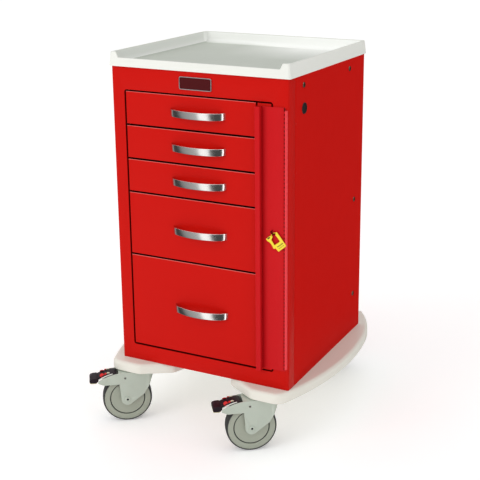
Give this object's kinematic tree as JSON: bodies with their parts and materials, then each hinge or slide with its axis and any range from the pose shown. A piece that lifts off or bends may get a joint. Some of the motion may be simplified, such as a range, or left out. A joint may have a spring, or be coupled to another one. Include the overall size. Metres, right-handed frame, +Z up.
{
  "type": "crash cart",
  "caption": "Narrow red crash cart: drawers of growing depth, bow pulls, a hinged lock bar with a breakaway seal, a tray top and a bumper base on braked swivel casters.",
  "frame": {"origin": "floor level, under the middle of the overall footprint", "axes": "+Z up; -Y is the drawer side; +X is to the right of someone facing the drawers"},
  "size_m": [0.5598, 0.6047, 0.8871],
  "materials": {
    "badge_field": "polished rim round a dark red field",
    "bar_red": "gloss",
    "base_cream": "satin",
    "caster_grey": "satin",
    "chrome": "polished",
    "grey_enamel": "satin",
    "pedal_black": "gloss",
    "plug_black": "matte",
    "red_enamel": "gloss",
    "seal_yellow": "gloss",
    "tray_plastic": "satin",
    "tyre": "matte",
    "wheel_grey": "satin",
    "zinc_steel": "zinc plated"
  },
  "bodies": {
    "carcass": {"front_frame": "red_enamel", "side_panel_left": "red_enamel", "side_panel_right": "red_enamel", "back_panel": "red_enamel", "top_deck": "red_enamel", "bottom_pan": "red_enamel", "slide_posts": "zinc_steel", "lock_channel": "red_enamel", "slide_outers": "zinc_steel", "top_tray": "tray_plastic", "base_bumper": "base_cream", "badge": "badge_field", "side_screws": "chrome", "side_plugs": "plug_black", "caster_mounts": "zinc_steel", "hinge_fixed_leaf": "bar_red", "hinge_pin": "chrome"},
    "lock_bar": {"lock_bar": "bar_red", "hinge_moving_leaf": "bar_red", "seal": "seal_yellow"},
    "drawer_1": {"drawer_1_box": "grey_enamel", "drawer_1_front": "red_enamel", "drawer_1_pull": "chrome"},
    "drawer_1_slides": {"drawer_1_slide_middles": "zinc_steel"},
    "drawer_2": {"drawer_2_box": "grey_enamel", "drawer_2_front": "red_enamel", "drawer_2_pull": "chrome"},
    "drawer_2_slides": {"drawer_2_slide_middles": "zinc_steel"},
    "drawer_3": {"drawer_3_box": "grey_enamel", "drawer_3_front": "red_enamel", "drawer_3_pull": "chrome"},
    "drawer_3_slides": {"drawer_3_slide_middles": "zinc_steel"},
    "drawer_4": {"drawer_4_box": "grey_enamel", "drawer_4_front": "red_enamel", "drawer_4_pull": "chrome"},
    "drawer_4_slides": {"drawer_4_slide_middles": "zinc_steel"},
    "drawer_5": {"drawer_5_box": "grey_enamel", "drawer_5_front": "red_enamel", "drawer_5_pull": "chrome"},
    "drawer_5_slides": {"drawer_5_slide_middles": "zinc_steel"},
    "caster_front_left_swivel": {"caster_front_left_fork": "caster_grey", "caster_front_left_axle": "chrome"},
    "caster_front_left_wheel": {"caster_front_left_wheel": "wheel_grey", "caster_front_left_tyre": "tyre"},
    "caster_front_left_brake": {"caster_front_left_brake_pedal": "pedal_black"},
    "caster_front_right_swivel": {"caster_front_right_fork": "caster_grey", "caster_front_right_axle": "chrome"},
    "caster_front_right_wheel": {"caster_front_right_wheel": "wheel_grey", "caster_front_right_tyre": "tyre"},
    "caster_front_right_brake": {"caster_front_right_brake_pedal": "pedal_black"},
    "caster_rear_left_swivel": {"caster_rear_left_fork": "caster_grey", "caster_rear_left_axle": "chrome"},
    "caster_rear_left_wheel": {"caster_rear_left_wheel": "wheel_grey", "caster_rear_left_tyre": "tyre"},
    "caster_rear_left_brake": {"caster_rear_left_brake_pedal": "pedal_black"},
    "caster_rear_right_swivel": {"caster_rear_right_fork": "caster_grey", "caster_rear_right_axle": "chrome"},
    "caster_rear_right_wheel": {"caster_rear_right_wheel": "wheel_grey", "caster_rear_right_tyre": "tyre"},
    "caster_rear_right_brake": {"caster_rear_right_brake_pedal": "pedal_black"}
  },
  "joints": [
    {"name": "lock_bar_hinge", "type": "hinge", "parent": "carcass", "child": "lock_bar", "pos_m": [0.2245, -0.2238, 0.4977], "axis": [0, 0, 1], "range_deg": [0, 120]},
    {"name": "drawer_1_pull_out", "type": "slide", "parent": "carcass", "child": "drawer_1", "axis": [0, -1, 0], "range_m": [0, 0.37]},
    {"name": "drawer_1_slides_run", "type": "slide", "parent": "carcass", "child": "drawer_1_slides", "axis": [0, -1, 0], "range_m": [0, 0.185]},
    {"name": "drawer_2_pull_out", "type": "slide", "parent": "carcass", "child": "drawer_2", "axis": [0, -1, 0], "range_m": [0, 0.37]},
    {"name": "drawer_2_slides_run", "type": "slide", "parent": "carcass", "child": "drawer_2_slides", "axis": [0, -1, 0], "range_m": [0, 0.185]},
    {"name": "drawer_3_pull_out", "type": "slide", "parent": "carcass", "child": "drawer_3", "axis": [0, -1, 0], "range_m": [0, 0.37]},
    {"name": "drawer_3_slides_run", "type": "slide", "parent": "carcass", "child": "drawer_3_slides", "axis": [0, -1, 0], "range_m": [0, 0.185]},
    {"name": "drawer_4_pull_out", "type": "slide", "parent": "carcass", "child": "drawer_4", "axis": [0, -1, 0], "range_m": [0, 0.37]},
    {"name": "drawer_4_slides_run", "type": "slide", "parent": "carcass", "child": "drawer_4_slides", "axis": [0, -1, 0], "range_m": [0, 0.185]},
    {"name": "drawer_5_pull_out", "type": "slide", "parent": "carcass", "child": "drawer_5", "axis": [0, -1, 0], "range_m": [0, 0.37]},
    {"name": "drawer_5_slides_run", "type": "slide", "parent": "carcass", "child": "drawer_5_slides", "axis": [0, -1, 0], "range_m": [0, 0.185]},
    {"name": "caster_front_left_turn", "type": "hinge", "parent": "carcass", "child": "caster_front_left_swivel", "pos_m": [-0.157, -0.2098, 0.1285], "axis": [0, 0, 1], "continuous": true},
    {"name": "caster_front_left_roll", "type": "hinge", "parent": "caster_front_left_swivel", "child": "caster_front_left_wheel", "pos_m": [-0.1926, -0.23566, 0.0585], "axis": [0.5878, -0.809, 0], "continuous": true},
    {"name": "caster_front_left_brake_press", "type": "hinge", "parent": "caster_front_left_swivel", "child": "caster_front_left_brake", "pos_m": [-0.22819, -0.26153, 0.1105], "axis": [0.5878, -0.809, 0], "range_deg": [0, 8]},
    {"name": "caster_front_right_turn", "type": "hinge", "parent": "carcass", "child": "caster_front_right_swivel", "pos_m": [0.177, -0.2098, 0.1285], "axis": [0, 0, 1], "continuous": true},
    {"name": "caster_front_right_roll", "type": "hinge", "parent": "caster_front_right_swivel", "child": "caster_front_right_wheel", "pos_m": [0.1414, -0.23566, 0.0585], "axis": [0.5878, -0.809, 0], "continuous": true},
    {"name": "caster_front_right_brake_press", "type": "hinge", "parent": "caster_front_right_swivel", "child": "caster_front_right_brake", "pos_m": [0.10581, -0.26153, 0.1105], "axis": [0.5878, -0.809, 0], "range_deg": [0, 8]},
    {"name": "caster_rear_left_turn", "type": "hinge", "parent": "carcass", "child": "caster_rear_left_swivel", "pos_m": [-0.157, 0.2622, 0.1285], "axis": [0, 0, 1], "continuous": true},
    {"name": "caster_rear_left_roll", "type": "hinge", "parent": "caster_rear_left_swivel", "child": "caster_rear_left_wheel", "pos_m": [-0.1926, 0.23634, 0.0585], "axis": [0.5878, -0.809, 0], "continuous": true},
    {"name": "caster_rear_left_brake_press", "type": "hinge", "parent": "caster_rear_left_swivel", "child": "caster_rear_left_brake", "pos_m": [-0.22819, 0.21047, 0.1105], "axis": [0.5878, -0.809, 0], "range_deg": [0, 8]},
    {"name": "caster_rear_right_turn", "type": "hinge", "parent": "carcass", "child": "caster_rear_right_swivel", "pos_m": [0.177, 0.2622, 0.1285], "axis": [0, 0, 1], "continuous": true},
    {"name": "caster_rear_right_roll", "type": "hinge", "parent": "caster_rear_right_swivel", "child": "caster_rear_right_wheel", "pos_m": [0.1414, 0.23634, 0.0585], "axis": [0.5878, -0.809, 0], "continuous": true},
    {"name": "caster_rear_right_brake_press", "type": "hinge", "parent": "caster_rear_right_swivel", "child": "caster_rear_right_brake", "pos_m": [0.10581, 0.21047, 0.1105], "axis": [0.5878, -0.809, 0], "range_deg": [0, 8]}
  ],
  "couplings": [
    {"joint": "drawer_1_slides_run", "follows": "drawer_1_pull_out", "ratio": 0.5},
    {"joint": "drawer_2_slides_run", "follows": "drawer_2_pull_out", "ratio": 0.5},
    {"joint": "drawer_3_slides_run", "follows": "drawer_3_pull_out", "ratio": 0.5},
    {"joint": "drawer_4_slides_run", "follows": "drawer_4_pull_out", "ratio": 0.5},
    {"joint": "drawer_5_slides_run", "follows": "drawer_5_pull_out", "ratio": 0.5}
  ]
}
